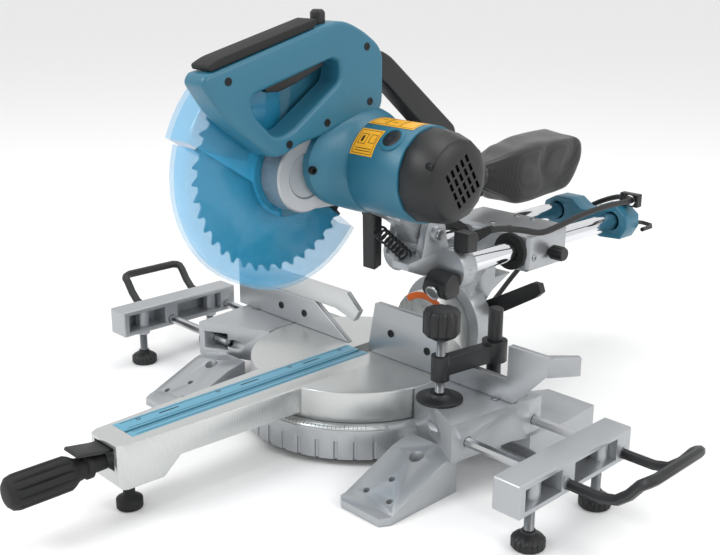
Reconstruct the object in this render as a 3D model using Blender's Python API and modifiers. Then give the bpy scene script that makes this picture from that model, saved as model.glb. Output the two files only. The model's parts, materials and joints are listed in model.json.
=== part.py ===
"""Sliding mitre saw with extending table wings, at rest with its head up. Metres, +Z up, operator at -Y.

The frame's origin is the mitre axis on the bench. Outlines are written in millimetres and scaled once, in place().
"""

import math

import bmesh
import bpy
from mathutils import Matrix, Vector

MM = 0.001

# Overall sizes, in millimetres like every size below
TABLE_TOP = 81.3
TABLE_RADIUS = 124.6
TABLE_BOTTOM = 47.0
RING_RADIUS = 135.0
FENCE_FACE = 11.0
FENCE_THICKNESS = 8.0
FENCE_TOP = 143.5
SEAT_GAP = 0.3

# Blade and head
BLADE_RADIUS = 108.0
BLADE_THICKNESS = 2.4
BLADE_TEETH = 40
BLADE_BORE = 15.0
BLADE_AXIS = (-117.0, 314.5)
PIVOT_AXIS = (62.0, 226.0)
PIVOT_RADIUS = 6.0
MOTOR_AXIS = (-35.0, 318.0)
MOTOR_RADIUS = 50.0
MOTOR_START = 62.0
MOTOR_END = 140.0
CAP_END = 182.0
GUARD_RADIUS = 132.0
GUARD_WALL = 3.5
GUARD_HALF_WIDTH = 19.0
LOWER_GUARD_RADIUS = 126.0
LOWER_GUARD_HALF_WIDTH = 13.0
GUARD_HUB = 42.5
HANDLE_LEFT = 26.0
HANDLE_RIGHT = 58.0

# Rails and tilting arm
BEVEL_AXIS_Z = TABLE_TOP
RAIL_RADIUS = 12.0
RAIL_HEIGHT = 185.0
RAIL_NEAR_X = 80.0
RAIL_FAR_X = -8.0
RAIL_FRONT = 76.0
RAIL_BACK = 425.0
RAIL_FIT = 0.4
HOLDER_FRONT = 185.0
HOLDER_BACK = 265.0
DRUM_RADIUS = 62.0
DRUM_FRONT = 148.0
DRUM_BACK = 175.0
BEVEL_SHAFT_RADIUS = 8.0

# Wings
WING_ROD_RADIUS = 5.4
WING_ROD_HEIGHT = 57.0
WING_ROD_YS = (-52.0, 40.0)
WING_INNER = 304.0
WING_OUTER = 336.0
WING_FRONT = -126.0
WING_BACK = 55.0
WING_BOTTOM = 47.0
WING_LOOP_REACH = 84.0
WING_LOOP_RISE = 34.0
WING_FOOT_YS = (-88.0, 22.0)
WING_FOOT_RADIUS = 16.4
ROD_INNER = 180.0
ROD_FIT = 0.4

# Clamp
CLAMP_AXIS = (160.0, -35.0)
POST_AXIS = (170.0, 42.0)
POST_RADIUS = 8.0
POST_TOP = 168.0
POST_BOTTOM = 64.0
SPINDLE_RADIUS = 5.0

# Mains lead
LEAD_DIAMETER = 7.5
COIL_CENTRE = (-120.0, 272.0)
COIL_RADIUS = 42.0

COLOURS = {
    "teal": ((0.055, 0.22, 0.33), 0.45, 0.0),
    "guard": ((0.20, 0.70, 0.90), 0.2, 0.0),
    "board": ((0.27, 0.52, 0.66), 0.5, 0.0),
    "black": ((0.018, 0.020, 0.022), 0.5, 0.0),
    "rubber": ((0.012, 0.012, 0.012), 0.85, 0.0),
    "cast": ((0.60, 0.61, 0.62), 0.42, 0.9),
    "machined": ((0.80, 0.80, 0.78), 0.32, 0.9),
    "chrome": ((0.85, 0.86, 0.88), 0.12, 1.0),
    "steel": ((0.55, 0.56, 0.58), 0.35, 1.0),
    "lamp": ((0.9, 0.9, 0.85), 0.1, 0.0),
    "fabric": ((0.015, 0.016, 0.018), 0.95, 0.0),
    "copper": ((0.60, 0.30, 0.14), 0.4, 1.0),
}

saw = bpy.data.collections.new("mitre_saw_on_stand")
shapers = bpy.data.collections.new("shaping_helpers")


# Scene and shape helpers

def clear_scene():
    for obj in list(bpy.data.objects):
        bpy.data.objects.remove(obj, do_unlink=True)
    for collection in (saw, shapers):
        bpy.context.scene.collection.children.link(collection)
    shapers.hide_render = True


def place(obj):
    """Every new shape starts as a helper. show() turns it into a sub-part."""
    shapers.objects.link(obj)
    obj.hide_render = True
    obj.display_type = "WIRE"
    return obj


def from_bmesh(name, mesh_data, scale=MM):
    bmesh.ops.scale(mesh_data, vec=(scale, scale, scale), verts=mesh_data.verts)
    bmesh.ops.recalc_face_normals(mesh_data, faces=mesh_data.faces)
    mesh = bpy.data.meshes.new(name)
    mesh_data.to_mesh(mesh)
    mesh_data.free()
    return place(bpy.data.objects.new(name, mesh))


def show(obj, name, finish):
    """Makes the shape a visible sub-part with its own material."""
    shapers.objects.unlink(obj)
    saw.objects.link(obj)
    obj.hide_render = False
    obj.display_type = "TEXTURED"
    obj.name = name
    obj.data.name = name
    colour, roughness, metallic = COLOURS[finish]
    material = bpy.data.materials.new(name + "_" + finish)
    material.use_nodes = True
    shader = material.node_tree.nodes["Principled BSDF"]
    shader.inputs["Base Color"].default_value = (*colour, 1.0)
    shader.inputs["Roughness"].default_value = roughness
    shader.inputs["Metallic"].default_value = metallic
    obj.data.materials.append(material)
    return obj


def box(low, high, bevel=0.0):
    shape = bmesh.new()
    size = [h - l for l, h in zip(low, high)]
    middle = [(h + l) / 2 for l, h in zip(low, high)]
    bmesh.ops.create_cube(shape, size=1.0)
    bmesh.ops.scale(shape, vec=size, verts=shape.verts)
    bmesh.ops.translate(shape, vec=middle, verts=shape.verts)
    obj = from_bmesh("box", shape)
    if bevel:
        soften(obj, bevel)
    return obj


def cylinder(radius, start, end, sides=24, end_radius=None):
    """A cylinder or cone between two points."""
    start = Vector(start)
    along = Vector(end) - start
    turn = Vector((0, 0, 1)).rotation_difference(along).to_matrix().to_4x4()
    shape = bmesh.new()
    bmesh.ops.create_cone(
        shape,
        cap_ends=True,
        segments=sides,
        radius1=radius,
        radius2=radius if end_radius is None else end_radius,
        depth=along.length,
        matrix=Matrix.Translation(start + along / 2) @ turn,
    )
    return from_bmesh("cylinder", shape)


def prism(outline, axis, low, high, bevel=0.0, segments=1):
    """An outline pushed along X, Y or Z. It is written (y, z), (x, z) or (x, y)."""
    curve = bpy.data.curves.new("outline", "CURVE")
    curve.dimensions = "2D"
    curve.fill_mode = "BOTH"
    curve.extrude = (high - low) / 2 * MM
    spline = curve.splines.new("POLY")
    spline.points.add(len(outline) - 1)
    for point, (a, b) in zip(spline.points, outline):
        point.co = (a * MM, b * MM, 0.0, 1.0)
    spline.use_cyclic_u = True
    guide = bpy.data.objects.new("outline", curve)
    mesh = bpy.data.meshes.new_from_object(guide)
    bpy.data.objects.remove(guide)
    turn = {
        "X": Matrix(((0, 0, 1), (1, 0, 0), (0, 1, 0))),
        "Y": Matrix(((1, 0, 0), (0, 0, -1), (0, 1, 0))),
        "Z": Matrix.Identity(3),
    }[axis].to_4x4()
    middle = (high + low) / 2 * MM
    shift = Vector([middle if name == axis else 0.0 for name in "XYZ"])
    mesh.transform(Matrix.Translation(shift) @ turn)
    shape = bmesh.new()
    shape.from_mesh(mesh)
    bmesh.ops.remove_doubles(shape, verts=shape.verts, dist=1e-6)
    bmesh.ops.dissolve_limit(shape, angle_limit=0.001, verts=shape.verts, edges=shape.edges)
    obj = from_bmesh("prism", shape, scale=1.0)
    if bevel:
        soften(obj, bevel, segments)
    return obj


def turned(profile, origin, axis, steps=32, ring=False):
    """A profile of (radius, height) from top to bottom down the outer side, turned round an axis."""
    shape = bmesh.new()
    points = [shape.verts.new((r * MM, 0.0, h * MM)) for r, h in profile]
    for first, second in zip(points, points[1:]):
        shape.edges.new((first, second))
    if ring:
        shape.edges.new((points[-1], points[0]))
    mesh = bpy.data.meshes.new("turned")
    shape.to_mesh(mesh)
    shape.free()
    obj = place(bpy.data.objects.new("turned", mesh))
    screw = obj.modifiers.new("turn", "SCREW")
    screw.steps = steps
    screw.render_steps = steps
    screw.use_merge_vertices = True
    screw.merge_threshold = 0.00001
    screw.use_smooth_shade = False
    turn = Vector((0, 0, 1)).rotation_difference(Vector(axis))
    obj.matrix_world = Matrix.Translation(Vector(origin) * MM) @ turn.to_matrix().to_4x4()
    return obj


def tube(points, radius, resolution=2):
    """A round wire along points, as a curve with filled caps."""
    curve = bpy.data.curves.new("tube", "CURVE")
    curve.dimensions = "3D"
    curve.bevel_depth = radius * MM
    curve.bevel_resolution = resolution
    curve.use_fill_caps = True
    spline = curve.splines.new("POLY")
    spline.points.add(len(points) - 1)
    for point, place_mm in zip(spline.points, points):
        point.co = (*(value * MM for value in place_mm), 1.0)
    return place(bpy.data.objects.new("tube", curve))


def smooth_route(points, spacing):
    """Points along a smooth curve through the given ones, about a spacing apart."""
    route = [Vector(p) for p in points]
    ends = [2 * route[0] - route[1], *route, 2 * route[-1] - route[-2]]
    fine = []
    for a, b, c, d in zip(ends, ends[1:], ends[2:], ends[3:]):
        pieces = max(1, round((c - b).length / spacing))
        for i in range(pieces):
            t = i / pieces
            fine.append(
                0.5 * (2 * b + (c - a) * t + (2 * a - 5 * b + 4 * c - d) * t**2
                       + (3 * b - a - 3 * c + d) * t**3)
            )
    return [*fine, route[-1]]


def soften(obj, width, segments=1, angle=40):
    bevel = obj.modifiers.new("soften", "BEVEL")
    bevel.width = width * MM
    bevel.segments = segments
    bevel.limit_method = "ANGLE"
    bevel.angle_limit = math.radians(angle)
    return obj


def combine(obj, other, operation):
    boolean = obj.modifiers.new(operation.lower(), "BOOLEAN")
    boolean.operation = operation
    boolean.solver = "EXACT"
    boolean.object = other
    return obj


def fuse(obj, *pieces):
    for piece in pieces:
        combine(obj, piece, "UNION")
    return obj


def cut(obj, *tools):
    for tool in tools:
        combine(obj, tool, "DIFFERENCE")
    return obj


def arc(centre, radius, start, end, count):
    """Points on an arc, angles in degrees from the first axis of the outline."""
    angles = [math.radians(start + (end - start) * i / (count - 1)) for i in range(count)]
    return [(centre[0] + radius * math.cos(a), centre[1] + radius * math.sin(a)) for a in angles]


def mirrored(points):
    return [(-x, y) for x, y in reversed(points)]


def x_point(axis_yz, x):
    return (x, axis_yz[0], axis_yz[1])


def hang(name, origin, objects):
    """A parent empty on the joint's axis, for the pieces that move together."""
    empty = bpy.data.objects.new(name, None)
    empty.location = Vector(origin) * MM
    saw.objects.link(empty)
    bpy.context.view_layer.update()
    for obj in objects:
        obj.parent = empty
        obj.matrix_parent_inverse = empty.matrix_world.inverted()


# Base

def front_foot(side):
    """The low front foot, sloping up to the block behind it."""
    outline = [(-165, 0), (-165, 8), (-152, 9), (-84, 38), (-58, 44), (-58, 0)]
    low, high = (140, 206) if side > 0 else (-206, -140)
    foot = prism(outline, "X", low, high)
    corners = [(128, -150), (152, -168), (128, -168)]
    outer = [(198, -168), (210, -168), (210, -148)]
    for corner in (corners, outer):
        points = corner if side > 0 else mirrored(corner)
        cut(foot, prism(points, "Z", -5, 30))
    return foot


def base_block():
    """Outline of the right-hand table block, round the turntable's edge."""
    inner = arc((0, 0), 126.5, 16.5, -15, 8)
    outer = [
        (163, -50), (211.6, -73.8), (221, 11), (228, 30), (228, 52), (190, 52), (184, 37),
    ]
    return [*inner, *outer]


def base_casting():
    profile = [
        (0, 46.7), (40, 46.7), (42, 40), (117, 40), (119, 46), (127, 46), (RING_RADIUS, 41),
        (RING_RADIUS, 8), (128, 8), (128, 32), (38, 32), (32, 0), (0, 0),
    ]
    base = turned(profile, (0, 0, 0), (0, 0, 1), 48)
    for side in (1, -1):
        outline = base_block() if side > 0 else mirrored(base_block())
        fuse(base, prism(outline, "Z", 38.5, TABLE_TOP))
        fuse(base, front_foot(side))
        rear = [(182, 30), (232, 30), (237, 92), (233, 148), (170, 148), (150, 110), (170, 72)]
        fuse(base, prism(rear if side > 0 else mirrored(rear), "Z", 0, 42))
        boss = [(POST_AXIS[0] * side, POST_AXIS[1], z) for z in (40, TABLE_TOP)]
        fuse(base, cylinder(12, *boss, sides=16))
        bore = [(POST_AXIS[0] * side, POST_AXIS[1], z) for z in (POST_BOTTOM - SEAT_GAP, 90)]
        cut(base, cylinder(POST_RADIUS + SEAT_GAP, *bore, sides=16))
        for y in WING_ROD_YS:
            ends = [(side * x, y, WING_ROD_HEIGHT) for x in (116, 260)]
            cut(base, cylinder(WING_ROD_RADIUS + ROD_FIT, *ends, sides=12))
        socket = [(174 * side, -84, z) for z in (14, 50)]
        cut(base, cylinder(8, *socket, sides=12))
        for x, y in ((158, -140), (172, -118), (190, -140)):
            cut(base, cylinder(3.5, (side * x, y, 4), (side * x, y, 40), 10))
        undercut = [(-40, 8), (-30, 26), (-5, 30), (30, 28), (56, 8), (56, -5), (-40, -5)]
        cut(base, prism(undercut, "X", *sorted((side * 150, side * 245))))
    cut(base, prism([(-205, -100), (-176, -66), (-176, 0), (-205, 0)], "Z", 48, 70))
    for step in range(13):
        angle = math.radians(-90 + (step - 6) * 9)
        middle = Vector((math.cos(angle), math.sin(angle), 0)) * RING_RADIUS
        notch = cylinder(2.6, middle + Vector((0, 0, 4)), middle + Vector((0, 0, 29)), 6)
        cut(base, notch)
    cut(base, cylinder(10 + SEAT_GAP, (0, 0, 20), (0, 0, 60), 20))
    return show(base, "base_casting", "cast")


def mitre_scale():
    strip = turned([(127.7, 46.95), (134.3, 42.85), (134.3, 41.85), (127.7, 45.95)],
                   (0, 0, 0), (0, 0, 1), 48, ring=True)
    away = [(0, 0), *[(200 * math.sin(math.radians(a)), -200 * math.cos(math.radians(a)))
                      for a in (60, 120, 180, 240, 300)]]
    cut(strip, prism(away, "Z", 30, 60))
    return show(strip, "mitre_scale", "steel")


# Fences

def fence_left():
    face = [(-236, 81.6), (-26.5, 81.6), (-87, 119.4), (-236, 119.4)]
    fence = prism(face, "Y", FENCE_FACE, FENCE_FACE + FENCE_THICKNESS)
    fuse(fence, box((-222, FENCE_FACE + 4, 81.6), (-132, 34, 90)))
    return show(fence, "fence_left", "cast")


def sub_fence():
    face = [(-236, 119.8), (-50, 119.8), (-17.3, 111), (-8.5, 125), (-30, 144), (-236, 144)]
    fence = prism(face, "Y", FENCE_FACE, FENCE_FACE + FENCE_THICKNESS)
    return show(fence, "sub_fence", "machined")


def fence_right():
    face = [
        (26, 81.6), (9, 81.6), (8.5, 91), (18, 142.5), (20, FENCE_TOP), (124, FENCE_TOP),
        (124, 106), (212, 106), (212, FENCE_TOP), (263, FENCE_TOP), (258, 122), (221, 81.6),
    ]
    fence = prism(face, "Y", FENCE_FACE, FENCE_FACE + FENCE_THICKNESS)
    fuse(fence, box((132, FENCE_FACE + 4, 81.6), (156, 34, 90)))
    fuse(fence, box((186, FENCE_FACE + 4, 81.6), (216, 34, 90)))
    gusset = [(250, FENCE_FACE), (262, FENCE_FACE), (282, 40), (276, 44), (252, 19)]
    fuse(fence, prism(gusset, "Z", 122.5, FENCE_TOP - 1))
    return show(fence, "fence_right", "cast")


# Work clamp

def clamp_post():
    post = turned([(0, POST_TOP), (POST_RADIUS - 1.5, POST_TOP), (POST_RADIUS, POST_TOP - 1.5),
                   (POST_RADIUS, POST_BOTTOM), (0, POST_BOTTOM)], (*POST_AXIS, 0), (0, 0, 1), 20)
    return show(post, "clamp_post", "black")


def clamp_arm():
    low, high = 108, 131
    ax, ay = CLAMP_AXIS
    px, py = POST_AXIS
    arm = cylinder(14, (px, py, low), (px, py, high), 20)
    fuse(arm, cylinder(10, (ax, ay, low - 4), (ax, ay, high), 20))
    side = Vector((py - ay, ax - px)).normalized() * 7
    web = [(ax + side.x, ay + side.y), (px + side.x, py + side.y),
           (px - side.x, py - side.y), (ax - side.x, ay - side.y)]
    fuse(arm, prism(web, "Z", low + 1, high - 3))
    cut(arm, cylinder(POST_RADIUS + SEAT_GAP, (px, py, 100), (px, py, 140), 20))
    cut(arm, cylinder(SPINDLE_RADIUS + SEAT_GAP, (ax, ay, 90), (ax, ay, 140), 16))
    return show(arm, "clamp_arm", "black")


def clamp_spindle():
    profile = [(0, 182), (15, 182), (19.5, 178), (19.5, 157), (16, 153), (9, 149), (SPINDLE_RADIUS, 147),
               (SPINDLE_RADIUS, 94), (7, 93), (7, 90.3), (0, 90.3)]
    spindle = turned(profile, (*CLAMP_AXIS, 0), (0, 0, 1), 20)
    return show(spindle, "clamp_spindle", "black")


def clamp_pad():
    profile = [(0, 90), (11, 90), (16, 85.5), (25, 84), (25, 81.7), (0, 81.7)]
    return show(turned(profile, (*CLAMP_AXIS, 0), (0, 0, 1), 28), "clamp_pad", "black")


# Table wings

def wing(name, side):
    low, high = sorted((side * WING_INNER, side * WING_OUTER))
    block = box((low, WING_FRONT, WING_BOTTOM), (high, WING_BACK, TABLE_TOP - 0.3), 1.5)
    open_side = side * (WING_OUTER + 5) if side > 0 else side * (WING_INNER - 5)
    inside = side * (WING_INNER + 6) if side > 0 else side * (WING_OUTER - 6)
    for start, end in ((-118, -62), (-42, 30)):
        pocket = (min(open_side, inside), start, WING_BOTTOM + 6), (max(open_side, inside), end, TABLE_TOP - 6)
        cut(block, box(*pocket))
    for y in WING_ROD_YS:
        ends = (side * (WING_INNER - 10), y, WING_ROD_HEIGHT), (side * (WING_OUTER + 10), y, WING_ROD_HEIGHT)
        cut(block, cylinder(WING_ROD_RADIUS + SEAT_GAP, *ends, sides=12))
    middle = side * (WING_INNER + WING_OUTER) / 2
    for y in WING_FOOT_YS:
        fuse(block, cylinder(9, (middle, y, WING_BOTTOM - 6), (middle, y, TABLE_TOP - 8), 14))
        cut(block, cylinder(5 + SEAT_GAP, (middle, y, 30), (middle, y, 66), 12))
    return show(block, name, "cast")


def wing_rods(name, side):
    front, back = WING_ROD_YS
    flat = WING_ROD_HEIGHT
    end, top = WING_OUTER + WING_LOOP_REACH, flat + WING_LOOP_RISE
    rise = [(end - 48, flat), (end - 32, flat + 4), (end - 20, flat + 14), (end - 10, top - 7), (end - 5, top - 3)]
    leg = [(ROD_INNER, flat), (240, flat), (300, flat), *rise]
    out = [(side * x, front, z) for x, z in leg]
    corner = [(side * (end - 2), front + 3, top - 1), (side * end, front + 9, top)]
    across = [(side * end, front + 30, top), (side * end, back - 30, top)]
    turn = [(side * end, back - 9, top), (side * (end - 2), back - 3, top - 1)]
    home = [(side * x, back, z) for x, z in reversed(leg)]
    return show(tube([*out, *corner, *across, *turn, *home], WING_ROD_RADIUS, 2), name, "chrome")


def wing_foot(name, side, y):
    x = side * (WING_INNER + WING_OUTER) / 2
    profile = [(0, 62), (5, 62), (5, 17), (WING_FOOT_RADIUS - 4, 14), (WING_FOOT_RADIUS, 10),
               (WING_FOOT_RADIUS, 1.5), (WING_FOOT_RADIUS - 1.5, 0), (0, 0)]
    return show(turned(profile, (x, y, 0), (0, 0, 1), 20), name, "rubber")


# Turntable

def turntable():
    profile = [(0, TABLE_TOP), (TABLE_RADIUS - 1, TABLE_TOP), (TABLE_RADIUS, TABLE_TOP - 1),
               (TABLE_RADIUS, TABLE_BOTTOM), (0, TABLE_BOTTOM)]
    table = turned(profile, (0, 0, 0), (0, 0, 1), 64)
    side = [(-100, 53), (-272, 53), (-292, 35), (-336, 35), (-340, 40), (-340, TABLE_TOP), (-100, TABLE_TOP)]
    arm = prism(side, "X", -38, 38)
    for hand in (1, -1):
        taper = [(37, -112), (27, -332), (21, -342), (60, -342), (60, -112)]
        cut(arm, prism(taper if hand > 0 else mirrored(taper), "Z", 20, 95))
    fuse(table, arm)
    dome = [(-47, 50), (47, 50), *arc((0, BEVEL_AXIS_Z), 47, 0, 180, 13)]
    fuse(table, prism(dome, "Y", 116, DRUM_FRONT - SEAT_GAP))
    fuse(table, box((-44, 88, TABLE_BOTTOM + 2), (44, 118, TABLE_TOP - 1.5)))
    cut(table, box((-23.3, -316.3, 77), (14.3, 6.3, 90)))
    cut(table, box((-12, -316, 64), (12, 62, 90)))
    cut(table, cylinder(10 + SEAT_GAP, (0, 0, 40), (0, 0, 60), 20))
    cut(table, cylinder(BEVEL_SHAFT_RADIUS + SEAT_GAP, (0, 100, BEVEL_AXIS_Z), (0, 160, BEVEL_AXIS_Z), 16))
    cut(table, cylinder(6 + SEAT_GAP, (0, -315.5, 20), (0, -315.5, 58), 14))
    cut(table, box((-17, -350, 53.8), (17, -322, 77)))
    return show(table, "turntable", "machined")


def kerf_board(name, low, high):
    return show(box((low, -316, 77.3), (high, 6, TABLE_TOP)), name, "board")


def turntable_pivot():
    return show(cylinder(10, (0, 0, 20.3), (0, 0, 59.7), 20), "turntable_pivot", "steel")


def arm_foot():
    profile = [(0, 50), (6, 50), (6, 14), (13.4, 10), (13.4, 1), (12.4, 0), (0, 0)]
    return show(turned(profile, (0, -315.5, 0), (0, 0, 1), 20), "arm_foot", "rubber")


def mitre_grip():
    profile = [(0, 443), (11, 442), (16, 436), (17.5, 425), (15.5, 405), (11.5, 382), (10, 366),
               (11, 352), (11, 341.5), (5.6, 341.5), (5.6, 323), (0, 323)]
    grip = turned(profile, (0, 0, 0), (0, -1, 0), 12)
    grip.location = (0, 0, 60 * MM)
    return show(grip, "mitre_grip", "black")


def mitre_latch():
    side = [(-330, 75.5), (-348, 76.6), (-374, 81), (-376, 78), (-350, 73.2), (-330, 71.5)]
    return show(prism(side, "X", -13, 13), "mitre_latch", "black")


# Tilting arm

def saw_arm():
    z = BEVEL_AXIS_Z
    arm = cylinder(DRUM_RADIUS, (0, DRUM_FRONT, z), (0, DRUM_BACK, z), 48)
    web = [(150, z), (150, 126), (194, 166), (263, 166), (258, 152), (196, 124), (182, 112), (179, z),
           (179, 50), (155, 50)]
    fuse(arm, prism(web, "X", -24, 44))
    holder = box((-32, HOLDER_FRONT, 161), (104, HOLDER_BACK, 209), 4)
    fuse(arm, holder)
    hub = cylinder(22, (0, 170, z), (0, 181, z), 20)
    fuse(arm, hub)
    cut(arm, cylinder(BEVEL_SHAFT_RADIUS + SEAT_GAP, (0, 140, z), (0, 200, z), 16))
    for x in (RAIL_NEAR_X, RAIL_FAR_X):
        cut(arm, cylinder(RAIL_RADIUS + RAIL_FIT, (x, 170, RAIL_HEIGHT), (x, 280, RAIL_HEIGHT), 24))
    cut(arm, cylinder(4 + SEAT_GAP, (94.5, 228, 181), (120, 228, 181), 12))
    cut(arm, box((18, 200, 140), (60, 250, 170)))
    return show(arm, "saw_arm", "cast")


def bevel_shaft():
    z = BEVEL_AXIS_Z
    shaft = turned([(0, 201), (7, 201), (BEVEL_SHAFT_RADIUS, 200), (BEVEL_SHAFT_RADIUS, 110), (0, 110)],
                   (0, 0, 0), (0, 1, 0), 16)
    shaft.location = (0, 0, z * MM)
    return show(shaft, "bevel_shaft", "steel")


def bevel_lever():
    z = BEVEL_AXIS_Z
    lever = cylinder(15, (0, 181.4, z), (0, 196, z), 18)
    bar = [(6, z - 9), (70, z + 22), (118, z + 52), (126, z + 60), (122, z + 70), (112, z + 70), (60, z + 40),
           (2, z + 10)]
    fuse(lever, prism(bar, "Y", 184, 194))
    cut(lever, cylinder(BEVEL_SHAFT_RADIUS + SEAT_GAP, (0, 170, z), (0, 205, z), 16))
    return show(lever, "bevel_lever", "black")


def rail_seal(name, x):
    seal = cylinder(23, (x, 177.5, RAIL_HEIGHT), (x, HOLDER_FRONT - SEAT_GAP, RAIL_HEIGHT), 24)
    cut(seal, cylinder(RAIL_RADIUS + RAIL_FIT, (x, 170, RAIL_HEIGHT), (x, 190, RAIL_HEIGHT), 24))
    return show(seal, name, "rubber")


def slide_lock_knob():
    profile = [(0, 127), (7, 127), (9, 124), (9, 109), (6, 106), (4, 104.6), (4, 94.8), (0, 94.8)]
    knob = turned(profile, (0, 0, 0), (1, 0, 0), 12)
    knob.location = (0, 228 * MM, 181 * MM)
    return show(knob, "slide_lock_knob", "black")


# Sliding carriage

def rail(name, x):
    ends = (x, RAIL_FRONT + SEAT_GAP, RAIL_HEIGHT), (x, RAIL_BACK - SEAT_GAP, RAIL_HEIGHT)
    return show(cylinder(RAIL_RADIUS, *ends, sides=24), name, "chrome")


def carriage():
    z = RAIL_HEIGHT
    body = cylinder(24, (RAIL_NEAR_X, 66, z), (RAIL_NEAR_X, 90, z), 24)
    fuse(body, cylinder(21, (RAIL_FAR_X, 72, z), (RAIL_FAR_X, 90, z), 24))
    fuse(body, box((RAIL_FAR_X, 72.5, 172), (RAIL_NEAR_X, 89, 200)))
    fuse(body, box((10, 60, 175), (65, 88, 201)))
    y0, z0 = PIVOT_AXIS
    fork = [(86, 176), (86, 200), *arc((y0, z0), 17, 0, 180, 9), (38, 196), (62, 176)]
    for low, high in ((8, 20), (54, 64)):
        fuse(body, prism(fork, "X", low, high))
    ledge = [(16, 198), (66, 204), (66, 176), (40, 180), (16, 190)]
    fuse(body, prism(ledge, "X", 40, 65))
    fuse(body, cylinder(10, x_point(PIVOT_AXIS, 60), x_point(PIVOT_AXIS, 70), 16))
    cut(body, cylinder(PIVOT_RADIUS + SEAT_GAP, x_point(PIVOT_AXIS, 0), x_point(PIVOT_AXIS, 80), 16))
    for x in (RAIL_NEAR_X, RAIL_FAR_X):
        cut(body, cylinder(RAIL_RADIUS + SEAT_GAP, (x, RAIL_FRONT, z), (x, 120, z), 24))
    return show(body, "carriage", "cast")


def rear_bracket():
    face = [
        (-33, 178), (-28, 196), (-12, 205), (16, 205), (32, 194), (48, 194), (62, 205), (88, 206),
        (104, 194), (105, 178), (96, 162), (64, 160), (40, 170), (10, 161), (-20, 162),
    ]
    bracket = prism(face, "Y", RAIL_BACK - 25, RAIL_BACK + 7)
    for x in (RAIL_NEAR_X, RAIL_FAR_X):
        bore = (x, RAIL_BACK - 35, RAIL_HEIGHT), (x, RAIL_BACK, RAIL_HEIGHT)
        cut(bracket, cylinder(RAIL_RADIUS + SEAT_GAP, *bore, 24))
    return show(bracket, "rear_bracket", "teal")


def cord_hook():
    route = [(88, 7.4, 176), (88, 20, 176), (88, 33, 175), (92, 39, 174), (104, 39, 173),
             (108, 33, 172), (108, 20, 172), (108, 11, 172)]
    route = [(x, RAIL_BACK + y, z) for x, y, z in route]
    return show(tube(route, 3, 1), "cord_hook", "black")


def pivot_shaft():
    ends = x_point(PIVOT_AXIS, 4), x_point(PIVOT_AXIS, 72)
    return show(cylinder(PIVOT_RADIUS, *ends, 16), "pivot_shaft", "steel")


def lamp_housing():
    side = [(65.6, 161), (65.6, 184), (54, 186), (40, 178), (36, 166), (42, 158), (58, 157)]
    housing = prism(side, "X", 66, 100, 2)
    cut(housing, cylinder(6.5, (83, 30, 162), (83, 44, 167), 16))
    return show(housing, "lamp_housing", "black")


def lamp_lens():
    return show(cylinder(6.1, (83, 37.4, 164.5), (83, 42.6, 166.5), 16), "lamp_lens", "lamp")


def return_spring():
    start, end = Vector((47, 31, 201.9)), Vector((47, -15, 240))
    along = (end - start).normalized()
    side = along.cross(Vector((1, 0, 0))).normalized()
    points = []
    turns, per_turn = 9, 8
    for i in range(turns * per_turn + 1):
        a = 2 * math.pi * i / per_turn
        centre = start.lerp(end, i / (turns * per_turn))
        points.append(centre + 5.5 * (math.cos(a) * Vector((1, 0, 0)) + math.sin(a) * side))
    return show(tube(points, 1.1, 0), "return_spring", "steel")


# Head

def gear_case():
    body = [
        *arc(BLADE_AXIS, 38, 250, 95, 10), (-60, 352), (-20, 352), (20, 346), (66, 320), (98, 318), (96, 290),
        *arc(PIVOT_AXIS, 18, 40, -130, 8), (28, 238), (-20, 262), (-60, 276),
    ]
    case = prism(body, "X", 22, 52)
    fuse(case, cylinder(38, x_point(BLADE_AXIS, GUARD_HALF_WIDTH + SEAT_GAP), x_point(BLADE_AXIS, 61), 32))
    fuse(case, cylinder(47.5, x_point(MOTOR_AXIS, 40), x_point(MOTOR_AXIS, MOTOR_START - SEAT_GAP), 32))
    cut(case, cylinder(PIVOT_RADIUS + SEAT_GAP, x_point(PIVOT_AXIS, 0), x_point(PIVOT_AXIS, 80), 16))
    cut(case, cylinder(8 + SEAT_GAP, x_point(BLADE_AXIS, 0), x_point(BLADE_AXIS, 44), 16))
    cut(case, cylinder(5 + SEAT_GAP, x_point(MOTOR_AXIS, 50), x_point(MOTOR_AXIS, 80), 12))
    plate = [(-22, 262), (6, 244), (14, 252), (8, 262), (-14, 276)]
    tab = prism(plate, "X", 45, 60)
    for y, z in ((-10, 263), (4, 254)):
        cut(tab, cylinder(2.4, (54, y, z), (64, y, z), 10))
    fuse(case, tab)
    return show(case, "gear_case", "cast")


def guard_plate(radius, low, high, start, end):
    """Side outline of the upper guard: an arc round the blade, closed by a hub disc."""
    y0, z0 = BLADE_AXIS
    hub = arc((y0, z0), 47, end + 25, start + 335, 8)
    return prism([*arc((y0, z0), radius, start, end, 25), *hub], "X", low, high)


def upper_guard():
    outer = guard_plate(GUARD_RADIUS, -GUARD_HALF_WIDTH, GUARD_HALF_WIDTH, -15, 160)
    inner = GUARD_HALF_WIDTH - GUARD_WALL
    room = cylinder(GUARD_RADIUS - GUARD_WALL, x_point(BLADE_AXIS, -inner), x_point(BLADE_AXIS, inner), 50)
    cut(outer, room)
    ring = cylinder(GUARD_HUB, x_point(BLADE_AXIS, 8), x_point(BLADE_AXIS, GUARD_HALF_WIDTH - 1), 32)
    fuse(outer, ring)
    cut(outer, cylinder(36, x_point(BLADE_AXIS, 4), x_point(BLADE_AXIS, inner), 32))
    cut(outer, cylinder(14, x_point(BLADE_AXIS, 10), x_point(BLADE_AXIS, 30), 20))
    cut(outer, cylinder(30, x_point(BLADE_AXIS, -30), x_point(BLADE_AXIS, -10), 24))
    return show(outer, "upper_guard", "teal")


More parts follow.
